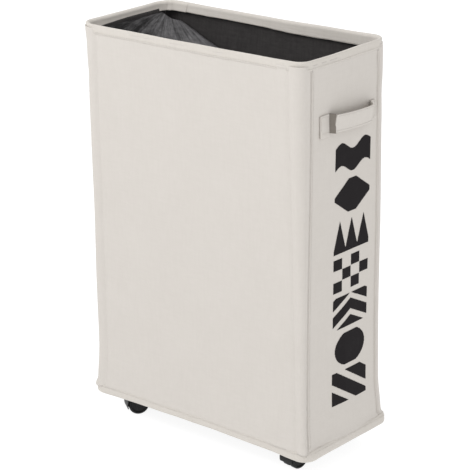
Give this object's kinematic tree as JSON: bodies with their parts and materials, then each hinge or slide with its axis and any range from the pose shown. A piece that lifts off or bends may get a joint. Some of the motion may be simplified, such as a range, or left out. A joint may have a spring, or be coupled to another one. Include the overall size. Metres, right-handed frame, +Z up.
{
  "type": "laundry sorter on wheels",
  "caption": "Slim fabric laundry sorter: tall narrow tub with stiffened walls, wired rim, corner rods, hinged cover flap, end handles and twin-wheel swivel casters.",
  "frame": {"origin": "centre of the footprint on the floor", "axes": "+Z up, X along the wide faces, +X the printed narrow face, +Y the rear wide face"},
  "size_m": [0.4156, 0.184, 0.58],
  "materials": {
    "oxford_cloth": "coated oxford weave, off-white",
    "lining_cloth": "charcoal coated cloth",
    "stiffener_board": "plain board",
    "spring_steel": "drawn wire",
    "webbing": "folded and stitched oxford strap",
    "print_ink": "screen printed, matt black",
    "zinc_steel": "zinc plated",
    "caster_plastic": "moulded black nylon",
    "wheel_plastic": "moulded black nylon"
  },
  "bodies": {
    "tub": {"wide_panel_front": "oxford_cloth", "wide_panel_rear": "oxford_cloth", "narrow_panel_right": "oxford_cloth", "narrow_panel_left": "oxford_cloth", "rim_hem": "oxford_cloth", "base_hem": "oxford_cloth", "lining_walls": "lining_cloth", "lining_floor": "lining_cloth", "flap_binding": "lining_cloth", "bottom_cover": "lining_cloth", "rod_sleeve_front_left": "lining_cloth", "rod_sleeve_front_right": "lining_cloth", "rod_sleeve_rear_left": "lining_cloth", "rod_sleeve_rear_right": "lining_cloth", "stiffener_front": "stiffener_board", "stiffener_rear": "stiffener_board", "stiffener_right": "stiffener_board", "stiffener_left": "stiffener_board", "base_board": "stiffener_board", "rim_wire": "spring_steel", "handle_strap_right": "webbing", "handle_strap_left": "webbing", "printed_blocks": "print_ink", "caster_plate_front_left": "zinc_steel", "caster_screws_front_left": "zinc_steel", "kingpin_front_left": "zinc_steel", "caster_plate_front_right": "zinc_steel", "caster_screws_front_right": "zinc_steel", "kingpin_front_right": "zinc_steel", "caster_plate_rear_left": "zinc_steel", "caster_screws_rear_left": "zinc_steel", "kingpin_rear_left": "zinc_steel", "caster_plate_rear_right": "zinc_steel", "caster_screws_rear_right": "zinc_steel", "kingpin_rear_right": "zinc_steel"},
    "flap": {"cover_flap": "lining_cloth"},
    "rod_front_left": {"support_rod_front_left": "spring_steel"},
    "rod_front_right": {"support_rod_front_right": "spring_steel"},
    "rod_rear_left": {"support_rod_rear_left": "spring_steel"},
    "rod_rear_right": {"support_rod_rear_right": "spring_steel"},
    "swivel_front_left": {"caster_hood_front_left": "caster_plastic", "caster_axle_front_left": "zinc_steel"},
    "wheel_front_left_left": {"caster_wheel_front_left_left": "wheel_plastic"},
    "wheel_front_left_right": {"caster_wheel_front_left_right": "wheel_plastic"},
    "swivel_front_right": {"caster_hood_front_right": "caster_plastic", "caster_axle_front_right": "zinc_steel"},
    "wheel_front_right_left": {"caster_wheel_front_right_left": "wheel_plastic"},
    "wheel_front_right_right": {"caster_wheel_front_right_right": "wheel_plastic"},
    "swivel_rear_left": {"caster_hood_rear_left": "caster_plastic", "caster_axle_rear_left": "zinc_steel"},
    "wheel_rear_left_left": {"caster_wheel_rear_left_left": "wheel_plastic"},
    "wheel_rear_left_right": {"caster_wheel_rear_left_right": "wheel_plastic"},
    "swivel_rear_right": {"caster_hood_rear_right": "caster_plastic", "caster_axle_rear_right": "zinc_steel"},
    "wheel_rear_right_left": {"caster_wheel_rear_right_left": "wheel_plastic"},
    "wheel_rear_right_right": {"caster_wheel_rear_right_right": "wheel_plastic"}
  },
  "joints": [
    {"name": "flap_hinge", "type": "hinge", "parent": "tub", "child": "flap", "pos_m": [-0.188, 0, 0.563], "axis": [0, 1, 0], "range_deg": [-80, 24]},
    {"name": "rod_slide_front_left", "type": "slide", "parent": "tub", "child": "rod_front_left", "axis": [0, 0, 1], "range_m": [0, 0.54]},
    {"name": "rod_slide_front_right", "type": "slide", "parent": "tub", "child": "rod_front_right", "axis": [0, 0, 1], "range_m": [0, 0.54]},
    {"name": "rod_slide_rear_left", "type": "slide", "parent": "tub", "child": "rod_rear_left", "axis": [0, 0, 1], "range_m": [0, 0.54]},
    {"name": "rod_slide_rear_right", "type": "slide", "parent": "tub", "child": "rod_rear_right", "axis": [0, 0, 1], "range_m": [0, 0.54]},
    {"name": "swivel_front_left", "type": "hinge", "parent": "tub", "child": "swivel_front_left", "pos_m": [-0.15, -0.066, 0.03], "axis": [0, 0, 1], "continuous": true},
    {"name": "wheel_spin_front_left_left", "type": "hinge", "parent": "swivel_front_left", "child": "wheel_front_left_left", "pos_m": [-0.14441, -0.05771, 0.015], "axis": [-0.829, 0.5592, 0], "continuous": true},
    {"name": "wheel_spin_front_left_right", "type": "hinge", "parent": "swivel_front_left", "child": "wheel_front_left_right", "pos_m": [-0.14441, -0.05771, 0.015], "axis": [-0.829, 0.5592, 0], "continuous": true},
    {"name": "swivel_front_right", "type": "hinge", "parent": "tub", "child": "swivel_front_right", "pos_m": [0.15, -0.066, 0.03], "axis": [0, 0, 1], "continuous": true},
    {"name": "wheel_spin_front_right_left", "type": "hinge", "parent": "swivel_front_right", "child": "wheel_front_right_left", "pos_m": [0.15139, -0.0561, 0.015], "axis": [-0.9903, 0.1392, 0], "continuous": true},
    {"name": "wheel_spin_front_right_right", "type": "hinge", "parent": "swivel_front_right", "child": "wheel_front_right_right", "pos_m": [0.15139, -0.0561, 0.015], "axis": [-0.9903, 0.1392, 0], "continuous": true},
    {"name": "swivel_rear_left", "type": "hinge", "parent": "tub", "child": "swivel_rear_left", "pos_m": [-0.15, 0.066, 0.03], "axis": [0, 0, 1], "continuous": true},
    {"name": "wheel_spin_rear_left_left", "type": "hinge", "parent": "swivel_rear_left", "child": "wheel_rear_left_left", "pos_m": [-0.14181, 0.06026, 0.015], "axis": [0.5736, 0.8192, 0], "continuous": true},
    {"name": "wheel_spin_rear_left_right", "type": "hinge", "parent": "swivel_rear_left", "child": "wheel_rear_left_right", "pos_m": [-0.14181, 0.06026, 0.015], "axis": [0.5736, 0.8192, 0], "continuous": true},
    {"name": "swivel_rear_right", "type": "hinge", "parent": "tub", "child": "swivel_rear_right", "pos_m": [0.15, 0.066, 0.03], "axis": [0, 0, 1], "continuous": true},
    {"name": "wheel_spin_rear_right_left", "type": "hinge", "parent": "swivel_rear_right", "child": "wheel_rear_right_left", "pos_m": [0.14577, 0.05694, 0.015], "axis": [0.9063, -0.4226, 0], "continuous": true},
    {"name": "wheel_spin_rear_right_right", "type": "hinge", "parent": "swivel_rear_right", "child": "wheel_rear_right_right", "pos_m": [0.14577, 0.05694, 0.015], "axis": [0.9063, -0.4226, 0], "continuous": true}
  ]
}
